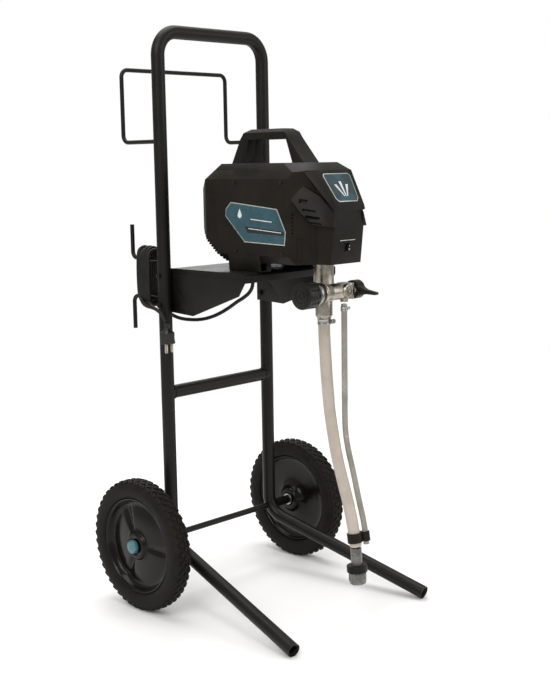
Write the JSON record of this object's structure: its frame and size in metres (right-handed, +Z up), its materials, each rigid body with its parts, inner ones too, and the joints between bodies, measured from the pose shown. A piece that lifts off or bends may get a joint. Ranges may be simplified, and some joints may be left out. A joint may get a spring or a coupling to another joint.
{
  "type": "airless paint sprayer",
  "caption": "Piston-pump paint sprayer with carrying handle, bolted to a tubular stand cart with two wheels, push handle, hose rack, suction hose and drain tube.",
  "frame": {"origin": "on the floor, in the middle of the cart footprint", "axes": "+Z up, the front with the pump and legs faces -Y, +X to the right seen from the front"},
  "size_m": [0.4816, 0.5043, 1.0987],
  "materials": {
    "powder_black_steel": "satin powder coat",
    "black_casing": "moulded, fine grain",
    "gloss_black_plastic": "moulded, glossy",
    "tyre_rubber": "matte rubber",
    "soft_black_rubber": "matte",
    "zinc_steel": "zinc plated",
    "nickel_casting": "nickel plated, satin",
    "cast_aluminium": "as cast",
    "ground_steel": "ground",
    "teal_plastic": "moulded, glossy",
    "badge_film": "printed film",
    "milky_tube": "translucent hose",
    "nylon": "natural nylon",
    "copper_winding": "enamelled copper and laminated steel"
  },
  "bodies": {
    "cart": {"left_upright": "powder_black_steel", "right_upright": "powder_black_steel", "push_handle": "powder_black_steel", "handle_spigots": "zinc_steel", "crossbar": "powder_black_steel", "axle_spacers": "powder_black_steel", "axle": "powder_black_steel", "axle_washers": "zinc_steel", "axle_caps": "teal_plastic", "leg_plugs": "soft_black_rubber", "hose_rack": "powder_black_steel", "cord_hooks": "powder_black_steel", "shelf": "powder_black_steel", "gussets": "powder_black_steel", "bracket_bolts": "zinc_steel", "left_casing": "black_casing", "right_casing": "black_casing", "nose_cover": "black_casing", "rear_cover": "black_casing", "nose_badge": "badge_film", "side_badges": "badge_film", "casing_screws": "zinc_steel", "foot_rails": "soft_black_rubber", "drive_housing": "cast_aluminium", "bearings": "ground_steel", "motor_can": "zinc_steel", "motor_end_bell": "cast_aluminium", "pump_seals": "nylon", "pump_cylinder": "nickel_casting", "inlet_valve": "nickel_casting", "outlet_fitting": "nickel_casting", "control_barrel": "nickel_casting", "prime_valve": "nickel_casting", "drain_barb": "nickel_casting", "hose_clamps": "zinc_steel", "suction_hose": "milky_tube", "drain_tube": "milky_tube", "tube_clip": "black_casing", "strainer": "black_casing", "cord_relief": "soft_black_rubber", "power_lead": "soft_black_rubber", "cord_hank": "soft_black_rubber", "power_plug": "soft_black_rubber"},
    "left_wheel": {"left_tyre": "tyre_rubber", "left_hub": "gloss_black_plastic", "left_bushes": "nylon"},
    "right_wheel": {"right_tyre": "tyre_rubber", "right_hub": "gloss_black_plastic", "right_bushes": "nylon"},
    "rotor": {"armature": "copper_winding", "motor_fan": "black_casing", "pinion": "ground_steel"},
    "crank": {"crank_shaft": "ground_steel", "reduction_gear": "ground_steel"},
    "link": {"connecting_rod": "cast_aluminium"},
    "piston": {"piston_rod": "ground_steel"},
    "valve_ball": {"inlet_ball": "ground_steel"},
    "knob": {"pressure_knob": "gloss_black_plastic"},
    "lever": {"prime_lever": "gloss_black_plastic"},
    "toggle": {"power_toggle": "gloss_black_plastic"}
  },
  "joints": [
    {"name": "left_wheel_spin", "type": "hinge", "parent": "cart", "child": "left_wheel", "pos_m": [-0.213, 0.12399, 0.127], "axis": [1, 0, 0], "continuous": true},
    {"name": "right_wheel_spin", "type": "hinge", "parent": "cart", "child": "right_wheel", "pos_m": [0.213, 0.12399, 0.127], "axis": [1, 0, 0], "continuous": true},
    {"name": "crank_spin", "type": "hinge", "parent": "cart", "child": "crank", "pos_m": [0, -0.11851, 0.736], "axis": [0, 1, 0], "continuous": true},
    {"name": "motor_spin", "type": "hinge", "parent": "cart", "child": "rotor", "pos_m": [0, -0.05851, 0.79035], "axis": [0, 1, 0], "continuous": true},
    {"name": "rod_swing", "type": "hinge", "parent": "crank", "child": "link", "pos_m": [0, -0.15851, 0.746], "axis": [0, 1, 0], "continuous": true},
    {"name": "piston_stroke", "type": "slide", "parent": "cart", "child": "piston", "axis": [0, 0, 1], "range_m": [-0.02, 0]},
    {"name": "inlet_ball_lift", "type": "slide", "parent": "cart", "child": "valve_ball", "axis": [0, 0, 1], "range_m": [0, 0.004]},
    {"name": "pressure_turn", "type": "hinge", "parent": "cart", "child": "knob", "pos_m": [-0.075, -0.18951, 0.614], "axis": [1, 0, 0], "range_deg": [0, 270]},
    {"name": "prime_turn", "type": "hinge", "parent": "cart", "child": "lever", "pos_m": [0.05, -0.18951, 0.614], "axis": [1, 0, 0], "range_deg": [0, 90]},
    {"name": "power_switch", "type": "hinge", "parent": "cart", "child": "toggle", "pos_m": [0, -0.21451, 0.695], "axis": [1, 0, 0], "range_deg": [-16, 0]}
  ],
  "couplings": [
    {"joint": "motor_spin", "follows": "crank_spin", "ratio": -5},
    {"joint": "rod_swing", "follows": "crank_spin", "ratio": -1}
  ]
}
